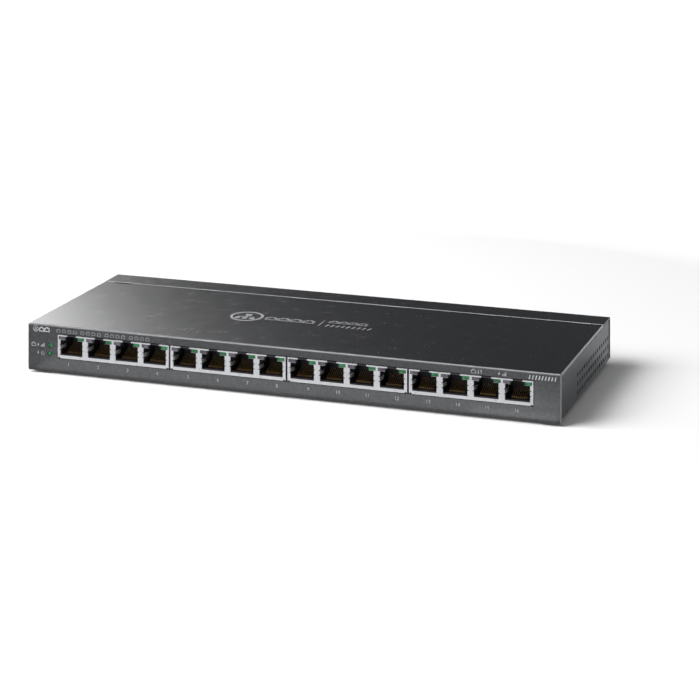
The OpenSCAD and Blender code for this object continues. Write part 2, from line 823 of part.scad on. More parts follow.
module fuse() {
  color("#e4e4df") translate(fuse_at) gull_package(10, 3.2, 3, 2, 8);
}

// Small ceramic capacitors around the chips and the power stage
module chip_capacitors() {
  color("#b58d62") {
    capacitor_row([switch_chip_at.x - 17, switch_chip_at.y + 24], 8, 4.6);
    capacitor_row([phy_chip_at.x - 13, phy_chip_at.y + 18], 6, 4.6);
    capacitor_row([controller_places[0].x, controller_places[0].y + 10], 6, 8);
  }
}

// Row of equal capacitors that starts at a place and runs along X
module capacitor_row(start, count, step) {
  size = [2, 1.25, 1.1];
  for (i = [0:count - 1]) translate([start.x + i * step, start.y, board_top]) cube(size);
}

// ---------------------------------------------------------------- power jack

// Places of the board's holes for the jack: centre pin, sleeve spring and switched side leg
function jack_legs() = [[jack_x, jack_pin_back + jack_leg_w / 2], [jack_x, jack_spring_y],
                        [jack_x + 3.4, jack_front + 3.4]];

module dc_jack_housing() {
  chamfer = 0.5;
  color("#19191b") translate([jack_x, 0, 0]) difference() {
    box([-jack_w / 2, jack_front, board_top], [jack_w / 2, jack_face, board_top + jack_h]);
    translate([0, 0, jack_axis_z]) {
      rod_y(jack_mouth_r, jack_bore_back, jack_face + 1);
      translate([0, jack_face + eps, 0]) rotate([90, 0, 0])
        cylinder(r1 = jack_mouth_r + chamfer, r2 = jack_mouth_r, h = chamfer);
      rod_y(jack_pin_root_r + skin_gap, jack_front - 1, jack_face);
    }
    // chamber for the sleeve spring, under the mouth
    box([-1.4, jack_bore_back, board_top - eps], [1.4, jack_face - 2, jack_axis_z]);
    // room for the pin's leg
    box([-0.7, jack_front - eps, board_top - eps], [0.7, jack_front + 1.8, jack_axis_z + 0.5]);
  }
}

// Round-ended pin on a thicker root, with its leg
module dc_jack_pin() {
  dome_y = jack_face - 1.6;
  color("#c7c9cc") translate([jack_x, 0, 0]) {
    translate([0, 0, jack_axis_z]) {
      rod_y(jack_pin_root_r, jack_pin_back, jack_bore_back);
      rod_y(jack_pin_r, jack_bore_back, dome_y);
      translate([0, dome_y, 0]) sphere(jack_pin_r);
    }
    box([-jack_leg_w / 2, jack_pin_back, pin_tip], [jack_leg_w / 2, jack_pin_back + jack_leg_w, jack_axis_z]);
  }
}

// Leaf that presses on the plug's sleeve, and its leg
module dc_jack_spring() {
  leaf_t = 0.3;
  leaf_half_w = 1.1;
  low = board_top + 0.6;
  root_y = jack_spring_y - 0.8;
  crest_y = jack_face - 5;
  crest = jack_axis_z - jack_mouth_r + 0.3;
  tip_y = jack_face - 3;
  tip = crest - 0.3;
  leg = jack_leg_w / 2;
  color("#c7c9cc") translate([jack_x, 0, 0]) {
    along_x(-leaf_half_w, leaf_half_w)
      polygon([[root_y, low], [root_y, low + leaf_t], [crest_y, crest + leaf_t],
               [tip_y, tip], [tip_y, tip - leaf_t], [crest_y, crest]]);
    box([-leg, jack_spring_y - leg, pin_tip], [leg, jack_spring_y + leg, low + leaf_t]);
  }
}

// ---------------------------------------------------------------- mode switches

function slider_x(i) = switch_x + (i - 2) * slider_pitch;
function switch_lead_y(k) = switch_face - switch_depth + 2 + 1.4 * (k + 1) / 2;

// Phenolic block that carries the fixed contacts
module mode_switch_base() {
  back = switch_face - switch_depth;
  bore_r = 0.45;
  color("#26201c") difference() {
    box([switch_x - switch_half_w, back, board_top],
        [switch_x + switch_half_w, switch_face - frame_depth, board_top + switch_h]);
    for (i = [1:3], k = [-1:1])
      translate([slider_x(i), switch_lead_y(k), board_top - eps])
        cylinder(r = bore_r, h = switch_contact_h + 0.2);
  }
}

// Front frame: a guide slot for each knob and a wider chamber behind it for the carrier
module mode_switch_frame() {
  cut_back = switch_face - frame_depth - 1;
  color("#3b3d42") difference() {
    box([switch_x - switch_half_w, switch_face - frame_depth + 0.02, board_top],
        [switch_x + switch_half_w, switch_face, board_top + switch_h]);
    for (i = [1:3]) translate([slider_x(i), 0, 0]) {
      box([-knob_w / 2 - slide_gap, cut_back, knob_low - slide_gap],
          [knob_w / 2 + slide_gap, switch_face + 1, knob_low + knob_h + slider_travel + slide_gap]);
      box([-carrier_w / 2 - slide_gap, cut_back, carrier_low - slide_gap],
          [carrier_w / 2 + slide_gap, switch_face - frame_lip,
           carrier_low + carrier_h + slider_travel + slide_gap]);
    }
  }
}

module mode_switch_contacts() {
  wire_w = 0.4;
  color("#c7c9cc") for (i = [1:3], k = [-1:1])
    translate([slider_x(i) - wire_w / 2, switch_lead_y(k) - wire_w / 2, pin_tip])
      cube([wire_w, wire_w, board_top + switch_contact_h - pin_tip]);
}

// Knob with two grip grooves, on a carrier that the frame holds in
module mode_slider(i) {
  carrier_back = switch_face - frame_depth + 0.3;
  groove_w = 0.3;
  groove_d = 0.25;
  color("#e9e9e6") translate([slider_x(i), 0, 0]) difference() {
    union() {
      box([-knob_w / 2, carrier_back, knob_low], [knob_w / 2, knob_tip, knob_low + knob_h]);
      box([-carrier_w / 2, carrier_back, carrier_low],
          [carrier_w / 2, switch_face - frame_lip - slide_gap, carrier_low + carrier_h]);
    }
    for (part = [1, 2])
      translate([-knob_w, knob_tip - groove_d, knob_low + part * knob_h / 3 - groove_w / 2])
        cube([2 * knob_w, 1, groove_w]);
  }
}

// ---------------------------------------------------------------- grounding point

module ground_screw() {
  color("#c4c6c9") translate([ground_x, rear_y + washer_t, ground_z]) rotate([-90, 0, 0])
    pan_screw(5, head_h = 1.9);
}

module ground_washer() {
  washer_r = 3.3;
  teeth = 8;
  notch = [0.9, 0.7];
  color("#b5b8bc") translate([ground_x, rear_y, ground_z]) rotate([-90, 0, 0])
    linear_extrude(washer_t) difference() {
      circle(washer_r);
      circle(screw_hole_r + 0.1);
      for (i = [0:teeth - 1]) rotate(i * 360 / teeth) translate([washer_r, 0]) square(notch, center = true);
    }
}

module ground_nut() {
  nut_t = 2.2;
  nut_r = 3.1;
  color("#b5b8bc") translate([ground_x, rear_y - sheet - nut_t, ground_z]) rotate([-90, 0, 0]) difference() {
    cylinder(r = nut_r, h = nut_t, $fn = 6);
    translate([0, 0, -eps]) cylinder(r = screw_hole_r, h = nut_t + 1);
  }
}

top_cover();
chassis();
cover_screws();
rubber_feet();
insulator_sheet();
main_board();
board_standoffs();
board_screws();
port_shield(1);  // port_block_1_shield
port_shield(2);  // port_block_2_shield
port_shield(3);  // port_block_3_shield
port_shield(4);  // port_block_4_shield
port_housing(1);  // port_block_1_housing
port_housing(2);  // port_block_2_housing
port_housing(3);  // port_block_3_housing
port_housing(4);  // port_block_4_housing
port_contacts(1);  // port_block_1_contacts
port_contacts(2);  // port_block_2_contacts
port_contacts(3);  // port_block_3_contacts
port_contacts(4);  // port_block_4_contacts
link_lenses(1);  // port_block_1_link_lenses
link_lenses(2);  // port_block_2_link_lenses
link_lenses(3);  // port_block_3_link_lenses
link_lenses(4);  // port_block_4_link_lenses
power_lenses(1);  // port_block_1_power_lenses
power_lenses(2);  // port_block_2_power_lenses
power_lenses(3);  // port_block_3_power_lenses
power_lenses(4);  // port_block_4_power_lenses
status_led_holder();
status_leds();
lan_transformers();
port_diodes();
switch_chip();
switch_heatsink();
phy_chip();
phy_heatsink();
thermal_pads();
power_controllers();
flash_chip();
crystal();
bulk_capacitors();
power_inductors();
power_transistors();
fuse();
chip_capacitors();
dc_jack_housing();
dc_jack_pin();
dc_jack_spring();
mode_switch_base();
mode_switch_frame();
mode_switch_contacts();
mode_slider(1);  // mode_slider_1
mode_slider(2);  // mode_slider_2
mode_slider(3);  // mode_slider_3
ground_screw();
ground_washer();
ground_nut();
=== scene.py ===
"""Desktop network switch: looks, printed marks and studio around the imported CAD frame."""

import json
import math

import bmesh
import bpy
from mathutils import Matrix, Quaternion, Vector


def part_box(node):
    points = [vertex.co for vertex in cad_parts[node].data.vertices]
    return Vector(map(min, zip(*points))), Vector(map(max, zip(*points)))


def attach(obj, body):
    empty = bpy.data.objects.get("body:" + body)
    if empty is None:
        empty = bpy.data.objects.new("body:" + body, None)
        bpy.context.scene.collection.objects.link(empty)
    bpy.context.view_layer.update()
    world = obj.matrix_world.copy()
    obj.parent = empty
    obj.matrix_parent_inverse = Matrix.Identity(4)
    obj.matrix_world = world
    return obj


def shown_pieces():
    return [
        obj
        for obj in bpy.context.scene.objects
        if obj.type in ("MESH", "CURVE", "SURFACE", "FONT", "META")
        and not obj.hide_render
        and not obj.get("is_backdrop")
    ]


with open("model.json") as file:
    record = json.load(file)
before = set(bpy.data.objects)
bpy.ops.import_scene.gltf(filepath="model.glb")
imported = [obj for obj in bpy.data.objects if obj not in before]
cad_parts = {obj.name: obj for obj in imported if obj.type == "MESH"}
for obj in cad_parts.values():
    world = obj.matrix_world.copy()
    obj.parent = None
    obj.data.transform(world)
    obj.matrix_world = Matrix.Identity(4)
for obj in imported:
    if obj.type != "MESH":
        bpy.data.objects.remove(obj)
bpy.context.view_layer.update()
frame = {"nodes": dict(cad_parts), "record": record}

MM = 0.001
CASE = "case"
NODES = frame["nodes"]


# ---------------------------------------------------------------- places taken from the frame

COVER_LOW, COVER_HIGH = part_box("top_cover")
CHASSIS_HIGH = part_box("chassis")[1]
LED_LOW, LED_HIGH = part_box("status_leds")
FRONT_Y = COVER_LOW.y
LEFT_X = COVER_LOW.x
RIGHT_X = COVER_HIGH.x
TOP_Z = COVER_HIGH.z
# front edge of the chassis's strip, behind the seam
SEAM_Y = min(v.co.y for v in NODES["chassis"].data.vertices if v.co.z > TOP_Z - 0.1 * MM)
BLOCKS = (1, 2, 3, 4)
PORTS_PER_BLOCK = 4


def lens_centres(side):
    """Middle of each port's lens on one side, from the lens nodes' own boxes, left to right."""
    centres = []
    for block in BLOCKS:
        low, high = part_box(f"port_block_{block}_{side}_lenses")
        lens_w = min(high.x - low.x, 3.5 * MM)
        step = (high.x - low.x - lens_w) / (PORTS_PER_BLOCK - 1)
        for port in range(PORTS_PER_BLOCK):
            centres.append(Vector((low.x + lens_w / 2 + port * step, low.y, (low.z + high.z) / 2)))
    return centres


def port_centres():
    """X of every port's middle, halfway between its two lenses, left to right."""
    return [(link.x + power.x) / 2 for link, power in zip(lens_centres("link"), lens_centres("power"))]


LENS_Z = lens_centres("link")[0].z
# the pale stripe on each capacitor's sleeve lies in front of this
CAPACITOR_STRIPE_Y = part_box("bulk_capacitors")[0].y + 1.1 * MM


# ---------------------------------------------------------------- material building

class Look:
    """A node material under construction around one Principled shader."""

    def __init__(self, name, color, roughness, metallic=0.0, **inputs):
        self.material = bpy.data.materials.new(name)
        self.material.use_nodes = True
        self.tree = self.material.node_tree
        self.shader = self.tree.nodes["Principled BSDF"]
        self.place = self.node("ShaderNodeTexCoord").outputs["Object"]
        self.set("Base Color", (*color, 1))
        self.set("Roughness", roughness)
        self.set("Metallic", metallic)
        for key, value in inputs.items():
            self.set(key.replace("_", " "), value)

    def node(self, kind, **values):
        """New node, with each value going to the input of that name or else to the setting."""
        made = self.tree.nodes.new(kind)
        for key, value in values.items():
            if key in made.inputs:
                self.join(value, made.inputs[key])
            else:
                setattr(made, key, value)
        return made

    def join(self, value, socket):
        """Links a socket, or sets a plain value."""
        if isinstance(value, bpy.types.NodeSocket):
            self.tree.links.new(value, socket)
        else:
            socket.default_value = value

    def set(self, name, value):
        """Sets or links one input of the Principled shader."""
        self.join(value, self.shader.inputs[name])

    def noise(self, size, detail=2.0, stretch=(1, 1, 1)):
        """Noise from 0 to 1 whose blobs are about size metres across, stretched along the axes."""
        scale = [1 / (size * s) for s in stretch]
        mapping = self.node("ShaderNodeMapping", Vector=self.place, Scale=scale)
        noise = self.node("ShaderNodeTexNoise", Vector=mapping.outputs[0], Scale=1.0, Detail=detail)
        return noise.outputs[0]

    def ramp(self, source, low, high, out_low, out_high):
        """Value that goes from out_low to out_high as source goes from low to high, and no further."""
        made = self.node("ShaderNodeMapRange")
        for index, value in enumerate((source, low, high, out_low, out_high)):
            self.join(value, made.inputs[index])
        return made.outputs[0]

    def vary(self, noise, out_low, out_high, layers=1):
        """Spreads a noise over a range. One layer of noise stays mostly between 0.3 and 0.7."""
        return self.ramp(noise, 0.3 * layers, 0.7 * layers, out_low, out_high)

    def math(self, operation, a, b=0.0):
        """Result of a math node."""
        made = self.node("ShaderNodeMath", operation=operation)
        self.join(a, made.inputs[0])
        self.join(b, made.inputs[1])
        return made.outputs[0]

    def add(self, a, b):
        """Sum of two values."""
        return self.math("ADD", a, b)

    def times(self, a, b):
        """Product of two values."""
        return self.math("MULTIPLY", a, b)

    def mix(self, factor, a, b):
        """Colour between a and b."""
        made = self.node("ShaderNodeMix", data_type="RGBA")
        for index, value in ((0, factor), (6, a), (7, b)):
            self.join(value, made.inputs[index])
        return made.outputs[2]

    def shade(self, source, color, spread):
        """Base colour that darkens and lightens by spread as source goes from 0 to 1."""
        dark = (*[c * (1 - spread) for c in color], 1)
        light = (*[min(1.0, c * (1 + spread)) for c in color], 1)
        return self.mix(source, dark, light)

    def bump(self, height, depth, strength=1.0):
        """Raises the surface by height, with depth as its size in metres."""
        made = self.node("ShaderNodeBump", Strength=strength, Distance=depth, Height=height)
        self.set("Normal", made.outputs[0])

    def edges(self, radius):
        """Mask that is 1 on corners sharper than the bevel radius and 0 on flat faces."""
        rounded = self.node("ShaderNodeBevel", samples=4, Radius=radius)
        flat = self.node("ShaderNodeNewGeometry")
        dot = self.node("ShaderNodeVectorMath", operation="DOT_PRODUCT")
        self.join(rounded.outputs[0], dot.inputs[0])
        self.join(flat.outputs["Normal"], dot.inputs[1])
        return self.ramp(dot.outputs["Value"], 0.98, 0.80, 0.0, 1.0)

    def band(self, source, low, high):
        """1 where source lies between low and high, otherwise 0."""
        above = self.math("GREATER_THAN", source, low)
        below = self.math("LESS_THAN", source, high)
        return self.times(above, below)

    def corners(self):
        """Mask that is 0 on faces square to the axes and 1 where a bend or a rounded edge turns."""
        normal = self.node("ShaderNodeNewGeometry").outputs["Normal"]
        parts = self.node("ShaderNodeSeparateXYZ", Vector=normal)
        x, y, z = [self.math("ABSOLUTE", parts.outputs[axis]) for axis in "XYZ"]
        largest = self.math("MAXIMUM", self.math("MAXIMUM", x, y), z)
        return self.ramp(largest, 0.97, 0.80, 0.0, 1.0)


def seam_line(look, place):
    """Mask of the painted highlight line along the chassis's side of the seam, and its tilted facing:
    forwards and up.
    """
    behind = look.band(place.outputs["Y"], SEAM_Y - 0.05 * MM, SEAM_Y + EDGE_LINE)
    mask = look.times(behind, look.math("GREATER_THAN", place.outputs["Z"], TOP_Z - 0.2 * MM))
    return mask, Vector((0, -1, 1)).normalized()


def side_lines(look, place):
    """Mask of the painted highlight lines along the cover's side edges, and their tilted facing: between
    outwards and the face's own.
    """
    mask = look.math("GREATER_THAN", look.math("ABSOLUTE", place.outputs["X"]), RIGHT_X - EDGE_LINE)
    outwards = look.node("ShaderNodeCombineXYZ", X=look.math("SIGN", place.outputs["X"]))
    halfway = look.node("ShaderNodeVectorMath", operation="ADD")
    look.join(look.node("ShaderNodeNewGeometry").outputs["Normal"], halfway.inputs[0])
    look.join(outwards.outputs[0], halfway.inputs[1])
    unit = look.node("ShaderNodeVectorMath", operation="NORMALIZE")
    look.join(halfway.outputs[0], unit.inputs[0])
    return mask, unit.outputs[0]


# ---------------------------------------------------------------- materials

COAT = (0.048, 0.050, 0.054)
COAT_SPREAD = 0.24
# painted sheen: pale shiny metal on bends and edges that paints their highlights, and the width of the
# painted highlight lines
PAINTED_EDGE_SHEEN = (0.61, 0.62, 0.64)
EDGE_LINE = 0.35 * MM


def powder_coat(name, color, rim_low, edge_line):
    """Fine-grained dark powder coat, with a painted highlight of pale shiny metal on bends above rim_low and
    along the edge line.
    """
    look = Look(name, color, 0.25, IOR=1.5)
    grain = look.noise(0.45 * MM, 3)
    blotch = look.noise(1.2 * MM, 2)
    cloud = look.noise(9 * MM, 2)
    body = look.shade(look.ramp(look.add(grain, blotch), 0.75, 1.25, 0.0, 1.0), color, COAT_SPREAD)
    place = look.node("ShaderNodeSeparateXYZ", Vector=look.place)
    high = look.ramp(place.outputs["Z"], rim_low, rim_low + 0.3 * MM, 0.0, 1.0)
    line, facing = edge_line(look, place)
    # painted highlight: thin and worn mark the bends and the edge line, which turn to pale shiny metal
    thin = look.math("MAXIMUM", look.times(look.corners(), high), line)
    worn = look.times(thin, look.vary(cloud, 0.75, 1.0))
    look.set("Base Color", look.mix(worn, body, (*PAINTED_EDGE_SHEEN, 1)))
    look.set("Metallic", worn)
    rough = look.vary(look.add(grain, cloud), 0.23, 0.28, layers=2)
    look.set("Roughness", look.add(rough, look.times(thin, 0.08)))
    height = look.add(grain, look.times(blotch, 0.6))
    bumpy = look.node("ShaderNodeBump", Strength=0.1, Distance=0.006 * MM, Height=height)
    # the edge line's normal is turned towards the lights, which aims its painted highlight
    turned = look.node("ShaderNodeMix", data_type="VECTOR")
    for index, value in ((0, line), (4, bumpy.outputs[0]), (5, facing)):
        look.join(value, turned.inputs[index])
    look.set("Normal", turned.outputs[1])
    return look.material


def tin_plate(name, color):
    """Matt tin over stamped bronze: faint rolling lines and soft stains."""
    look = Look(name, color, 0.32, metallic=0.85)
    rolling = look.noise(0.25 * MM, 2, stretch=(12, 12, 1))
    stains = look.noise(2.5 * MM, 3)
    look.set("Base Color", look.shade(stains, color, 0.07))
    look.set("Roughness", look.vary(look.add(rolling, stains), 0.24, 0.42, layers=2))
    look.bump(look.add(rolling, look.times(stains, 1.5)), 0.01 * MM, 0.5)
    return look.material


def plated_steel(name, color, roughness=0.34):
    """Turned and plated steel with fine wear."""
    look = Look(name, color, roughness, metallic=1.0)
    lines = look.noise(0.12 * MM, 2, stretch=(1, 1, 14))
    clouds = look.noise(1.6 * MM, 3)
    rubbed = look.edges(0.2 * MM)
    body = look.shade(clouds, color, 0.14)
    bare = (*[min(1.0, c * 1.5 + 0.1) for c in color], 1)
    look.set("Base Color", look.mix(rubbed, body, bare))
    look.set("Roughness", look.vary(lines, roughness - 0.08, roughness + 0.10))
    look.bump(lines, 0.006 * MM, 0.6)
    return look.material


def gold_flash(name):
    """Gold over nickel spring wire, a little worn towards nickel."""
    gold = (0.46, 0.29, 0.11)
    nickel = (0.38, 0.34, 0.28, 1)
    look = Look(name, gold, 0.45, metallic=0.8)
    wear = look.ramp(look.noise(0.5 * MM, 3), 0.50, 0.75, 0.0, 0.35)
    look.set("Base Color", look.mix(wear, (*gold, 1), nickel))
    look.set("Roughness", look.vary(look.noise(0.15 * MM, 2), 0.38, 0.55))
    look.bump(look.noise(0.08 * MM, 2), 0.004 * MM, 0.5)
    return look.material


def moulding(name, color, roughness, grain=0.12, depth=0.012):
    """Injection-moulded plastic with a spark-eroded grain, its colour lighter along the edges. Grain is in
    millimetres.
    """
    look = Look(name, color, roughness, IOR=1.5)
    fine = look.noise(grain * MM, 3)
    clouds = look.noise(4 * MM, 2)
    body = look.shade(clouds, color, 0.15)
    # the colour turns lighter along the edges
    lighter_edge_color = (*[min(1.0, c * 1.5 + 0.01) for c in color], 1)
    look.set("Base Color", look.mix(look.edges(0.15 * MM), body, lighter_edge_color))
    look.set("Roughness", look.vary(look.add(fine, clouds), roughness - 0.04, roughness + 0.08, layers=2))
    look.bump(fine, depth * MM, 0.6)
    return look.material


def unlit_lens(name):
    """Clear indicator lens with nothing lit behind it: a greyish window, smoother in its upper half."""
    dark = (0.06, 0.055, 0.07, 1)
    pale = (0.16, 0.15, 0.18, 1)
    look = Look(name, (0.30, 0.29, 0.33), 0.18, IOR=1.49, Coat_Weight=0.6)
    height = look.node("ShaderNodeSeparateXYZ", Vector=look.place).outputs["Z"]
    look.set("Base Color", look.mix(look.vary(look.noise(1.2 * MM, 1), 0, 1), dark, pale))
    look.set("Roughness", look.ramp(height, LENS_Z - 0.5 * MM, LENS_Z + 0.5 * MM, 0.32, 0.12))
    look.bump(look.noise(0.3 * MM, 2), 0.01 * MM, 0.4)
    return look.material


def lit_lens(name, color, glow, strength, hot_size):
    """Lit diffusing lens: bright cells of light, hot_size millimetres across, over a saturated body."""
    look = Look(name, color, 0.22, IOR=1.49, Coat_Weight=0.5)
    cells = look.ramp(look.noise(hot_size * MM, 1), 0.35, 0.68, 0.0, 1.0)
    look.set("Emission Color", look.mix(cells, (*color, 1), (*glow, 1)))
    look.set("Emission Strength", look.ramp(cells, 0.0, 1.0, strength * 0.45, strength))
    look.bump(look.noise(0.3 * MM, 2), 0.01 * MM, 0.4)
    return look.material


def rubber(name):
    """Black moulded rubber, grained and a little uneven."""
    color = (0.020, 0.020, 0.022)
    look = Look(name, color, 0.72)
    grain = look.noise(0.18 * MM, 4)
    look.set("Base Color", look.shade(look.noise(3 * MM, 3), color, 0.35))
    look.set("Roughness", look.vary(grain, 0.62, 0.88))
    look.bump(grain, 0.03 * MM, 0.8)
    return look.material


def circuit_board(name):
    """Green solder mask with copper tracks showing through as slightly lighter lines."""
    mask = (0.010, 0.085, 0.034)
    over_copper = (0.02, 0.17, 0.065, 1)
    look = Look(name, mask, 0.28, Coat_Weight=0.4)
    tracks = look.node("ShaderNodeTexBrick", Vector=look.place, Scale=1 / (14 * MM))
    look.join(0.028, tracks.inputs["Mortar Size"])
    weave = look.noise(0.35 * MM, 2, stretch=(1, 3, 1))
    copper = tracks.outputs["Fac"]
    look.set("Base Color", look.mix(copper, look.shade(weave, mask, 0.2), over_copper))
    look.set("Roughness", look.vary(weave, 0.22, 0.36))
    look.bump(look.add(weave, look.times(copper, 2.0)), 0.012 * MM, 0.6)
    return look.material


def anodised(name):
    """Black anodised aluminium with fine extrusion lines along Y."""
    color = (0.034, 0.035, 0.040)
    look = Look(name, color, 0.38, metallic=0.6)
    lines = look.noise(0.2 * MM, 3, stretch=(1, 40, 1))
    look.set("Base Color", look.shade(look.noise(5 * MM, 2), color, 0.3))
    look.set("Roughness", look.vary(lines, 0.30, 0.48))
    look.bump(lines, 0.02 * MM, 0.7)
    return look.material


def sleeve(name):
    """Heat-shrunk capacitor sleeve with a pale stripe down one side."""
    blue_black = (0.018, 0.022, 0.060)
    pale = (0.45, 0.46, 0.50, 1)
    look = Look(name, blue_black, 0.30)
    side = look.node("ShaderNodeSeparateXYZ", Vector=look.place)
    stripe = look.math("LESS_THAN", side.outputs["Y"], CAPACITOR_STRIPE_Y)
    wrinkles = look.noise(0.9 * MM, 3, stretch=(1, 1, 6))
    look.set("Base Color", look.mix(stripe, look.shade(wrinkles, blue_black, 0.3), pale))
    look.set("Roughness", look.vary(wrinkles, 0.22, 0.40))
    look.bump(wrinkles, 0.02 * MM, 0.6)
    return look.material


def film(name):
    """Milky polyester sheet."""
    color = (0.55, 0.55, 0.52)
    look = Look(name, color, 0.42, Transmission_Weight=0.25)
    scuffs = look.noise(1.5 * MM, 4, stretch=(1, 5, 1))
    look.set("Base Color", look.shade(scuffs, color, 0.10))
    look.set("Roughness", look.vary(scuffs, 0.32, 0.55))
    look.bump(scuffs, 0.01 * MM, 0.5)
    return look.material


def ink(name, color):
    """Pad-printed ink: nearly flat, with tiny pinholes where the coat's grain shows."""
    look = Look(name, color, 0.55)
    pinholes = look.ramp(look.noise(0.12 * MM, 3), 0.30, 0.42, 0.72, 1.0)
    dark = (*[c * 0.55 for c in color], 1)
    look.set("Base Color", look.mix(pinholes, dark, (*color, 1)))
    look.set("Roughness", look.vary(look.noise(0.3 * MM, 2), 0.48, 0.66))
    look.bump(look.noise(0.1 * MM, 2), 0.006 * MM, 0.6)
    return look.material


# one look for each material slot of the record
LOOKS = {
    "cover_paint": powder_coat("cover_paint", COAT, TOP_Z - 1.5 * MM, side_lines),
    "chassis_paint": powder_coat("chassis_paint", COAT, TOP_Z - 0.75 * MM, seam_line),
    "shield_tin": tin_plate("shield_tin", (0.86, 0.87, 0.90)),
    "contact_gold": gold_flash("contact_gold"),
    "zinc_steel": plated_steel("zinc_steel", (0.62, 0.63, 0.65)),
    "black_steel": plated_steel("black_steel", (0.05, 0.052, 0.056), 0.42),
    "connector_plastic": moulding("connector_plastic", (0.026, 0.023, 0.028), 0.46),
    "chip_epoxy": moulding("chip_epoxy", (0.016, 0.016, 0.017), 0.55, grain=0.08),
    "knob_plastic": moulding("knob_plastic", (0.78, 0.78, 0.75), 0.40),
    "ferrite": moulding("ferrite", (0.070, 0.071, 0.075), 0.60, grain=0.25, depth=0.03),
    "ceramic": moulding("ceramic", (0.46, 0.33, 0.22), 0.35, grain=0.2),
    "thermal_pad": moulding("thermal_pad", (0.33, 0.43, 0.48), 0.75, grain=0.4, depth=0.03),
    "clear_lens": unlit_lens("clear_lens"),
    "green_lens": lit_lens("green_lens", (0.006, 0.10, 0.030), (0.08, 0.62, 0.22), 0.30, 1.2),
    "rubber": rubber("rubber"),
    "board_laminate": circuit_board("board_laminate"),
    "heatsink_aluminium": anodised("heatsink_aluminium"),
    "capacitor_sleeve": sleeve("capacitor_sleeve"),
    "insulator_film": film("insulator_film"),
}
BRIGHT_INK = ink("print_light_grey", (0.62, 0.63, 0.64))
FINE_INK = ink("print_fine_grey", (0.46, 0.47, 0.48))
STATUS_GREEN = lit_lens("status_green", (0.004, 0.06, 0.02), (0.10, 0.62, 0.26), 0.45, 1.0)


# ---------------------------------------------------------------- finish of the CAD nodes

WELD_DISTANCE = 0.001 * MM
# neighbouring faces that meet at less than this are one flat face
FLAT_ANGLE = math.radians(0.5)
# faces that meet at more than this get a rounded edge between them
SHARP_ANGLE = math.radians(38)
BEVEL_SEGMENTS = 2


def dress(name, material, edge=0.0):
    """Gives a CAD node its material and rounds its sharp edges by edge millimetres.

    The large faces set the normals, so that flat sheet and long bends reflect evenly.
    """
    node = NODES[name]
    node.data.materials.clear()
    node.data.materials.append(material)
    for polygon in node.data.polygons:
        polygon.material_index = 0
    if edge:
        weld = node.modifiers.new("weld", "WELD")
        weld.merge_threshold = WELD_DISTANCE
        flat = node.modifiers.new("merge_flat_faces", "DECIMATE")
        flat.decimate_type = "DISSOLVE"
        flat.angle_limit = FLAT_ANGLE
        bevel = node.modifiers.new("edge_rounding", "BEVEL")
        bevel.width = edge * MM
        bevel.segments = BEVEL_SEGMENTS
        bevel.limit_method = "ANGLE"
        bevel.angle_limit = SHARP_ANGLE
        bevel.use_clamp_overlap = True
        normals = node.modifiers.new("normals_from_large_faces", "WEIGHTED_NORMAL")
        normals.mode = "FACE_AREA"
        normals.weight = 100


# how far each node's edges are rounded, in millimetres
EDGES = {
    "top_cover": 0.22,
    "chassis": 0.18,
    "cover_screws": 0.12,
    "rubber_feet": 0.3,
    "status_led_holder": 0.15,
    "dc_jack_housing": 0.25,
    "mode_switch_frame": 0.12,
    "mode_switch_base": 0.1,
    "ground_screw": 0.12,
    "ground_washer": 0.06,
    "ground_nut": 0.12,
    "board_screws": 0.12,
    "switch_heatsink": 0.12,
    "phy_heatsink": 0.12,
    "bulk_capacitors": 0.2,
    "crystal": 0.25,
    "power_inductors": 0.3,
    "switch_chip": 0.1,
    "phy_chip": 0.1,
}
for slider in (1, 2, 3):
    EDGES[f"mode_slider_{slider}"] = 0.15
for block in BLOCKS:
    EDGES[f"port_block_{block}_shield"] = 0.09
    EDGES[f"port_block_{block}_housing"] = 0.10
    EDGES[f"port_block_{block}_link_lenses"] = 0.15
    EDGES[f"port_block_{block}_power_lenses"] = 0.15

for subpart in frame["record"]["subparts"]:
    dress(subpart["node"], LOOKS[subpart["material_slot"]], EDGES.get(subpart["node"], 0.0))
dress("status_leds", STATUS_GREEN)


# ---------------------------------------------------------------- drawing of printed marks

INK_T = 0.03 * MM
# height of a digit over the size of its font
DIGIT_HEIGHT = 0.69


def offset_points(points, distance, closed):
    """Points moved sideways by distance, with mitred corners."""
    moved = []
    count = len(points)
    for index, point in enumerate(points):
        before = points[index - 1] if closed or index else None
        after = points[(index + 1) % count] if closed or index < count - 1 else None
        normals = []
        for a, b in ((before, point), (point, after)):
            if a is not None and b is not None:
                along = (b - a).normalized()
                normals.append(Vector((-along.y, along.x)))
        normal = sum(normals, Vector((0, 0))).normalized()
        moved.append(point + normal * distance / max(normal.dot(normals[0]), 0.3))
    return moved


def arc(centre, radius, start, end, steps=24):
    """Points along an arc, with angles in degrees."""
    centre = Vector(centre)
    points = []
    for step in range(steps + 1):
        angle = math.radians(start + (end - start) * step / steps)
        points.append(centre + radius * Vector((math.cos(angle), math.sin(angle))))
    return points


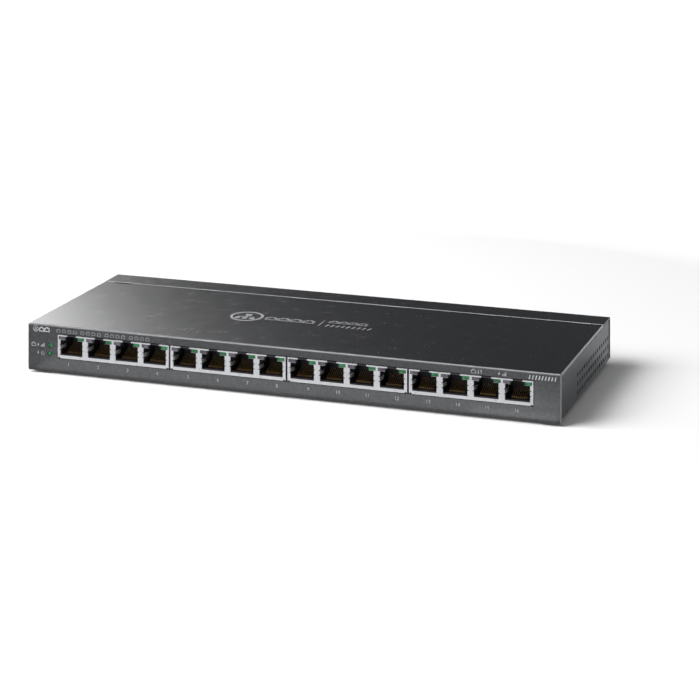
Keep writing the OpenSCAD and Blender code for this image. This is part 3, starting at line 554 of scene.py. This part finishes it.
class Print:
    """Flat printed shapes gathered on one surface. Sizes are in millimetres, about a movable centre."""

    def __init__(self, surface):
        self.mesh = bmesh.new()
        self.surface = surface
        self.centre = Vector((0, 0))
        self.size = 1.0

    def at(self, x, y, size=1.0):
        """Moves the centre to a place in metres, and scales what is drawn there."""
        self.centre = Vector((x, y))
        self.size = size
        return self

    def vertices(self, points):
        """New vertices at points given about the centre."""
        made = []
        for point in points:
            u, v = self.centre + Vector(point) * self.size * MM
            made.append(self.mesh.verts.new((u, v, 0)))
        return made

    def fill(self, points):
        """Filled outline."""
        self.mesh.faces.new(self.vertices(points))

    def bar(self, x0, y0, x1, y1):
        """Filled rectangle."""
        self.fill([(x0, y0), (x1, y0), (x1, y1), (x0, y1)])

    def stroke(self, points, width, closed=False):
        """Line of constant width through the points."""
        points = [Vector(p) for p in points]
        left = self.vertices(offset_points(points, width / 2, closed))
        right = self.vertices(offset_points(points, -width / 2, closed))
        count = len(points)
        for index in range(count if closed else count - 1):
            following = (index + 1) % count
            self.mesh.faces.new((right[index], right[following], left[following], left[index]))

    def number(self, value, height):
        """A port number, centred on the mark's centre."""
        curve = bpy.data.curves.new("number", "FONT")
        curve.body = str(value)
        curve.align_x = "CENTER"
        curve.align_y = "CENTER"
        curve.size = height / DIGIT_HEIGHT
        curve.resolution_u = 4
        letter = bpy.data.objects.new("number", curve)
        outline = letter.to_mesh()
        shape = bmesh.new()
        shape.from_mesh(outline)
        made = {}
        for vertex in shape.verts:
            made[vertex] = self.vertices([(vertex.co.x, vertex.co.y)])[0]
        for face in shape.faces:
            self.mesh.faces.new([made[v] for v in face.verts])
        shape.free()
        letter.to_mesh_clear()
        bpy.data.objects.remove(letter)
        bpy.data.curves.remove(curve)

    def finish(self, name, material):
        """Turns the shapes into one thin piece that rides on the case."""
        bmesh.ops.recalc_face_normals(self.mesh, faces=self.mesh.faces)
        for face in self.mesh.faces:
            if face.normal.z < 0:
                face.normal_flip()
        raised = bmesh.ops.extrude_face_region(self.mesh, geom=list(self.mesh.faces))
        top = [v for v in raised["geom"] if isinstance(v, bmesh.types.BMVert)]
        bmesh.ops.translate(self.mesh, verts=top, vec=(0, 0, INK_T))
        bmesh.ops.recalc_face_normals(self.mesh, faces=self.mesh.faces)
        self.mesh.transform(self.surface)
        data = bpy.data.meshes.new(name)
        self.mesh.to_mesh(data)
        self.mesh.free()
        piece = bpy.data.objects.new(name, data)
        bpy.context.scene.collection.objects.link(piece)
        piece.data.materials.append(material)
        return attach(piece, CASE)


# ---------------------------------------------------------------- signs, about one millimetre each way

def mark_power(mark):
    """Open ring with a stroke in its gap."""
    mark.stroke(arc((0, 0), 0.75, 125, 415), 0.22)
    mark.bar(-0.11, 0.05, 0.11, 1.05)


def mark_bolt(mark):
    """Lightning bolt."""
    mark.fill([(0.30, 1.0), (-0.55, -0.15), (-0.05, -0.15), (-0.30, -1.0), (0.55, 0.15), (0.05, 0.15)])


def mark_slanted_bars(mark, count, pitch, width, height):
    """Row of slanted dashes about the centre."""
    lean = height / 8
    half = width / 2
    for index in range(count):
        x = (index - (count - 1) / 2) * pitch
        foot = x - lean
        head = x + lean
        low, high = -height / 2, height / 2
        mark.fill([(foot - half, low), (foot + half, low), (head + half, high), (head - half, high)])


def mark_bars(mark):
    """Three rising bars."""
    for step in range(3):
        left = -0.9 + step * 0.7
        mark.bar(left, -0.9, left + 0.45, -0.2 + step * 0.55)


def mark_arrows(mark):
    """Two arrows side by side, one each way, for traffic."""
    for way in (1, -1):
        x = 0.55 * way
        low, high = sorted((-0.9 * way, 0.35 * way))
        mark.bar(x - 0.11, low, x + 0.11, high)
        head = [(x - 0.42, 0.3 * way), (x + 0.42, 0.3 * way), (x, 0.95 * way)]
        mark.fill(head[::way])


def mark_port(mark, line=0.16):
    """Outline of a modular port with its latch notch."""
    left = [(-0.5, 0.8), (-0.5, 0.35), (-1, 0.35), (-1, -0.8)]
    right = [(1, -0.8), (1, 0.35), (0.5, 0.35), (0.5, 0.8)]
    mark.stroke(left + right, line, closed=True)


def mark_network(mark):
    """A tree of three stations under one hub, inside a ring of radius 9."""
    mark.stroke(arc((0, 0), 9.0, 0, 354, 59), 1.5, closed=True)
    mark.bar(-1.9, 1.6, 1.9, 4.9)
    mark.bar(-0.45, -0.6, 0.45, 1.6)
    mark.bar(-5.0, -1.4, 5.0, -0.6)
    for x in (-4.4, 0, 4.4):
        mark.bar(x - 0.4, -2.6, x + 0.4, -1.4)
        mark.bar(x - 1.5, -5.2, x + 1.5, -2.6)


# ---------------------------------------------------------------- marks printed on the case

# the front panel's face, seen from the front, and the cover's top, seen from above
FRONT = Matrix(((1, 0, 0, 0), (0, 0, -1, FRONT_Y), (0, 1, 0, 0), (0, 0, 0, 1)))
TOP = Matrix.Translation((0, 0, TOP_Z))
NUMBER_Z = COVER_LOW.z + 4.5 * MM
NUMBER_HEIGHT = 1.75
# how far a number stands right of its port in the middle of the panel, and how fast that falls off
NUMBER_ASIDE = 3.15 * MM
NUMBER_ASIDE_FALL = 0.076 * MM
UPPER_LINE_Z = TOP_Z - 2.5 * MM
PORT_MARK_COUNT = 16
PORT_MARK_PITCH = 3.15 * MM
PORT_MARK_GROUP_GAP = 1.2 * MM
STATUS_PITCH = 4.2 * MM
STATUS_MARK_PITCH = 2.6 * MM
EMBLEM_X = LEFT_X + 103.5 * MM
EMBLEM_Y = (COVER_LOW.y + CHASSIS_HIGH.y) / 2 - 6.0 * MM
EMBLEM_DIVIDER_X = EMBLEM_X + 42 * MM


def print_port_numbers():
    """Numbers 1 to 16 under the ports, each a little to the right, most of all in the middle."""
    mark = Print(FRONT)
    centres = port_centres()
    middle = (len(centres) + 1) / 2
    for number, x in enumerate(centres, 1):
        aside = NUMBER_ASIDE - NUMBER_ASIDE_FALL * (number - middle - 0.5) ** 2
        mark.at(x + aside, NUMBER_Z).number(number, NUMBER_HEIGHT)
    mark.finish("print_port_numbers", FINE_INK)


def print_status_marks():
    """Left of the status lights: port, bolt and bars at the upper one, bolt and ring at the lower."""
    mark = Print(FRONT)
    led_radius = (LED_HIGH.x - LED_LOW.x) / 2
    upper_z = LED_HIGH.z - led_radius
    lower_z = upper_z - STATUS_PITCH
    x = LED_LOW.x - 3.0 * MM
    mark_bars(mark.at(x, upper_z, 1.1))
    mark_bolt(mark.at(x - STATUS_MARK_PITCH, upper_z, 1.15))
    mark_port(mark.at(x - 2 * STATUS_MARK_PITCH, upper_z, 1.1), 0.26)
    mark_power(mark.at(x, lower_z - 0.1 * MM, 1.1))
    mark_bolt(mark.at(x - STATUS_MARK_PITCH, lower_z, 1.15))
    mark.finish("print_status_marks", FINE_INK)


def print_panel_row():
    """Row of small ports in fours, then marks for traffic and power over the last two ports."""
    mark = Print(FRONT)
    for index in range(PORT_MARK_COUNT):
        gaps = (index // PORTS_PER_BLOCK) * PORT_MARK_GROUP_GAP
        x = LEFT_X + 17.5 * MM + index * PORT_MARK_PITCH + gaps
        mark_port(mark.at(x, UPPER_LINE_Z, 0.95))
    link_x = lens_centres("link")[-2].x
    power_x = lens_centres("power")[-2].x
    mark_port(mark.at(link_x - 1.0 * MM, UPPER_LINE_Z, 1.15), 0.24)
    mark_arrows(mark.at(link_x + 2.2 * MM, UPPER_LINE_Z, 1.25))
    mark_bolt(mark.at(power_x + 1.0 * MM, UPPER_LINE_Z, 1.25))
    mark_bars(mark.at(power_x + 3.6 * MM, UPPER_LINE_Z, 1.1))
    mark.finish("print_panel_row", FINE_INK)


def print_panel_emblems():
    """Small emblem with two ports at the panel's left end, and slanted dashes at its right end."""
    mark = Print(FRONT)
    mark_network(mark.at(LEFT_X + 4.4 * MM, UPPER_LINE_Z, 0.16))
    for index in range(2):
        mark_port(mark.at(LEFT_X + (7.8 + index * 3.1) * MM, UPPER_LINE_Z, 1.25), 0.34)
    mark.at(RIGHT_X - 9.2 * MM, UPPER_LINE_Z - 0.2 * MM)
    mark_slanted_bars(mark, count=9, pitch=1.6, width=0.55, height=2.0)
    mark.finish("print_panel_emblems", BRIGHT_INK)


def print_top_emblem():
    """Emblem on the cover: network sign, a row of ports, a divider and two rows of small marks."""
    mark = Print(TOP)
    mark_network(mark.at(EMBLEM_X, EMBLEM_Y, 0.92))
    for index in range(4):
        mark_port(mark.at(EMBLEM_X + (14 + index * 7.0) * MM, EMBLEM_Y, 2.8), 0.26)
    mark.at(EMBLEM_DIVIDER_X, EMBLEM_Y).bar(-0.2, -5.0, 0.2, 5.0)
    for index in range(4):
        x = EMBLEM_DIVIDER_X + (5.6 + index * 5.4) * MM
        mark_port(mark.at(x, EMBLEM_Y + 3.9 * MM, 2.2), 0.24)
    mark.at(EMBLEM_DIVIDER_X + 16.0 * MM, EMBLEM_Y - 3.6 * MM)
    mark_slanted_bars(mark, count=9, pitch=2.9, width=0.9, height=3.4)
    mark.finish("print_top_emblem", BRIGHT_INK)


print_port_numbers()
print_status_marks()
print_panel_row()
print_panel_emblems()
print_top_emblem()


# ---------------------------------------------------------------- studio

# the product's middle, that lights are aimed at
CENTRE = (0, 0, 0.012)
CAMERA_PLACE = (0.3860, -1.0766, 0.3290)
CAMERA_HEADING = 18.955
CAMERA_LENS = 111.49
CAMERA_SHIFT = -0.8653
FLOOR_HALF = 4.0
FLOOR_WHITE = (0.90, 0.90, 0.90)
# colour of the painted contact shade on the floor
PAINTED_FLOOR_SHADE = (0.62, 0.62, 0.62, 1)
# the floor's own light near the product, and how far out it starts to rise and is full
FLOOR_GLOW = 0.06
GLOW_START = 0.32
GLOW_FULL = 0.60
# share of the floor's light that is kept out of reflections in the product
FLOOR_DIMMING = 0.55


def make_floor():
    """Pale floor with a faint shade painted along the product's front, glowing farther out to fade to white.
    """
    corners = [(x * FLOOR_HALF, y * FLOOR_HALF, 0) for x, y in ((-1, -1), (1, -1), (1, 1), (-1, 1))]
    mesh = bpy.data.meshes.new("floor")
    mesh.from_pydata(corners, [], [(0, 1, 2, 3)])
    plane = bpy.data.objects.new("floor", mesh)
    bpy.context.scene.collection.objects.link(plane)
    plane.data.materials.append(floor_look())
    plane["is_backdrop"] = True
    return plane


def floor_look():
    """White paper with a contact shade painted into its colour, from how closed in each point is by the
    product's front.
    """
    look = Look("floor_white", FLOOR_WHITE, 0.9, Specular_IOR_Level=0.0)
    look.bump(look.noise(2 * MM, 2), 0.01 * MM, 0.2)
    distance = look.node("ShaderNodeVectorMath", operation="LENGTH")
    look.join(look.place, distance.inputs[0])
    openness = look.node("ShaderNodeAmbientOcclusion", samples=8, Distance=5 * MM).outputs["AO"]
    depth = look.node("ShaderNodeSeparateXYZ", Vector=look.place).outputs["Y"]
    ahead = look.ramp(depth, FRONT_Y, FRONT_Y + 6 * MM, 1.0, 0.0)
    # painted contact shade: the floor's colour darkens just in front of the product where it is closed in
    contact = look.times(ahead, look.ramp(openness, 0.5, 0.86, 1.0, 0.0))
    look.set("Base Color", look.mix(contact, (*FLOOR_WHITE, 1), PAINTED_FLOOR_SHADE))
    look.set("Emission Color", (1, 1, 1, 1))
    glow = look.ramp(distance.outputs["Value"], GLOW_START, GLOW_FULL, FLOOR_GLOW, 1.0)
    look.set("Emission Strength", glow)
    dark = look.node("ShaderNodeEmission", Color=(0, 0, 0, 1))
    glossy = look.node("ShaderNodeLightPath").outputs["Is Glossy Ray"]
    dim = look.node("ShaderNodeMixShader")
    look.join(look.times(glossy, FLOOR_DIMMING), dim.inputs[0])
    look.join(look.shader.outputs[0], dim.inputs[1])
    look.join(dark.outputs[0], dim.inputs[2])
    look.join(dim.outputs[0], look.tree.nodes["Material Output"].inputs["Surface"])
    return look.material


def make_world():
    """White for the camera and nearly dark for everything else, a little brighter overhead."""
    world = bpy.data.worlds.new("studio")
    world.use_nodes = True
    tree = world.node_tree
    nodes, links = tree.nodes, tree.links
    nodes.clear()
    out = nodes.new("ShaderNodeOutputWorld")
    path = nodes.new("ShaderNodeLightPath")
    choose = nodes.new("ShaderNodeMixShader")
    seen = nodes.new("ShaderNodeBackground")
    seen.inputs["Color"].default_value = (1, 1, 1, 1)
    soft = nodes.new("ShaderNodeBackground")
    place = nodes.new("ShaderNodeTexCoord")
    split = nodes.new("ShaderNodeSeparateXYZ")
    ramp = nodes.new("ShaderNodeMapRange")
    # strength 0.02 up to a height of 0.4 on the unit sphere, rising to 0.08 straight above
    for index, value in enumerate((0.4, 1.0, 0.02, 0.08)):
        ramp.inputs[index + 1].default_value = value
    links.new(place.outputs["Generated"], split.inputs[0])
    links.new(split.outputs["Z"], ramp.inputs[0])
    links.new(ramp.outputs[0], soft.inputs["Strength"])
    links.new(path.outputs["Is Camera Ray"], choose.inputs[0])
    links.new(soft.outputs[0], choose.inputs[1])
    links.new(seen.outputs[0], choose.inputs[2])
    links.new(choose.outputs[0], out.inputs[0])
    bpy.context.scene.world = world


def area_light(name, place, target, size, radiance, receivers, roll=0.0, glossy=True):
    """Soft rectangle of (width, height) at place, facing target, turned by roll degrees about its axis."""
    data = bpy.data.lights.new(name, "AREA")
    data.shape = "RECTANGLE"
    data.size, data.size_y = size
    data.energy = radiance * math.pi * size[0] * size[1]
    light = bpy.data.objects.new(name, data)
    bpy.context.scene.collection.objects.link(light)
    light.location = place
    light.rotation_mode = "QUATERNION"
    facing = (Vector(target) - Vector(place)).to_track_quat("-Z", "Y")
    light.rotation_quaternion = facing @ Quaternion((0, 0, 1), math.radians(roll))
    light.visible_camera = False
    light.visible_glossy = glossy
    light.light_linking.receiver_collection = receivers


def collection(name, objects):
    """The objects that a light shines on."""
    made = bpy.data.collections.new(name)
    for member in objects:
        made.objects.link(member)
    return made


def make_lights(floor_plane):
    """Lights of the product, its front panel and the floor, each kept to its own receivers."""
    product = collection("lit_product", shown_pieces())
    panel = collection("lit_panel", [NODES["top_cover"]])
    ground = collection("lit_floor", [floor_plane])
    # from the front left, so that the shadow falls to the right
    area_light("floor_key", place=(-1.45, -0.95, 1.60), target=CENTRE, size=(1.9, 1.9),
               radiance=8.6, receivers=ground)
    area_light("floor_fill", place=(0, 0, 2.0), target=CENTRE, size=(3.0, 3.0),
               radiance=0.3, receivers=ground)
    # reflected in the cover's left part, where its edge gives the soft slanting border
    area_light("back_left_box", place=(-0.732, 0.818, 0.644), target=(-0.10, 0.0, 0.02), size=(0.641, 0.801),
               radiance=4.5, receivers=product, roll=25.8)
    # soft light on the front panel and into the ports
    area_light("front_fill", place=(-0.15, -1.6, 0.35), target=CENTRE, size=(1.0, 0.5),
               radiance=3.2, receivers=product)
    # reflected in the bend along the front's top edge; a target just off straight down keeps size along X
    area_light("overhead", place=(-0.42, -0.26, 1.12), target=(-0.42, -0.25, 0), size=(0.80, 0.45),
               radiance=1.7, receivers=product)
    area_light("overhead_right", place=(-0.13, -0.26, 1.12), target=(-0.13, -0.25, 0), size=(0.25, 0.45),
               radiance=5.5, receivers=product)
    # for the edges and the wall of the right side
    area_light("right_edge", place=(0.36, 0.74, 0.23), target=(RIGHT_X, 0.0, 0.02), size=(0.30, 0.30),
               radiance=0.8, receivers=product)
    area_light("right_rear_strip", place=(0.235, 0.165, 0.035), target=(RIGHT_X, 0.03, 0.012),
               size=(0.20, 0.05), radiance=24.0, receivers=product, glossy=False)
    # strips close to the floor, for the light that it throws up onto the front panel
    area_light("low_front", place=(0.0, -0.076, 0.0015), target=(0.0, -0.076, 1), size=(0.28, 0.034),
               radiance=1.1, receivers=panel)
    area_light("low_front_right", place=(0.118, -0.082, 0.0015), target=(0.118, -0.082, 1),
               size=(0.046, 0.044), radiance=1.0, receivers=panel)
    # strip above the floor that softens the shade in front of the panel
    area_light("floor_front", place=(0.0, -0.085, 0.030), target=(0.0, -0.085, 0.0), size=(0.28, 0.030),
               radiance=0.7, receivers=ground)


def make_camera():
    """Level camera to the front right, with its lens shifted down so that the verticals stay upright."""
    data = bpy.data.cameras.new("camera")
    data.lens = CAMERA_LENS
    data.sensor_width = 36.0
    data.clip_start = 0.05
    data.clip_end = 30
    camera = bpy.data.objects.new("camera", data)
    bpy.context.scene.collection.objects.link(camera)
    camera.location = CAMERA_PLACE
    camera.rotation_euler = (math.radians(90), 0, math.radians(CAMERA_HEADING))
    bpy.context.scene.camera = camera
    shift_when_in_place(camera, CAMERA_SHIFT)


def shift_when_in_place(camera, shift):
    """Shifts the lens only while the camera is at its own place, so other views stay centred."""
    curve = camera.data.driver_add("shift_y")
    driver = curve.driver
    driver.type = "AVERAGE"
    variable = driver.variables.new()
    variable.type = "TRANSFORMS"
    target = variable.targets[0]
    target.id = camera
    target.transform_type = "LOC_Y"
    target.transform_space = "WORLD_SPACE"
    for modifier in list(curve.modifiers):
        curve.modifiers.remove(modifier)
    near = camera.location.y + 10 * MM
    away = camera.location.y + 50 * MM
    for place, value in ((near, shift), (away, 0.0)):
        key = curve.keyframe_points.insert(place, value)
        key.interpolation = "LINEAR"
    curve.extrapolation = "CONSTANT"


floor = make_floor()
make_world()
make_lights(floor)
make_camera()
bpy.context.scene.view_settings.view_transform = "Standard"
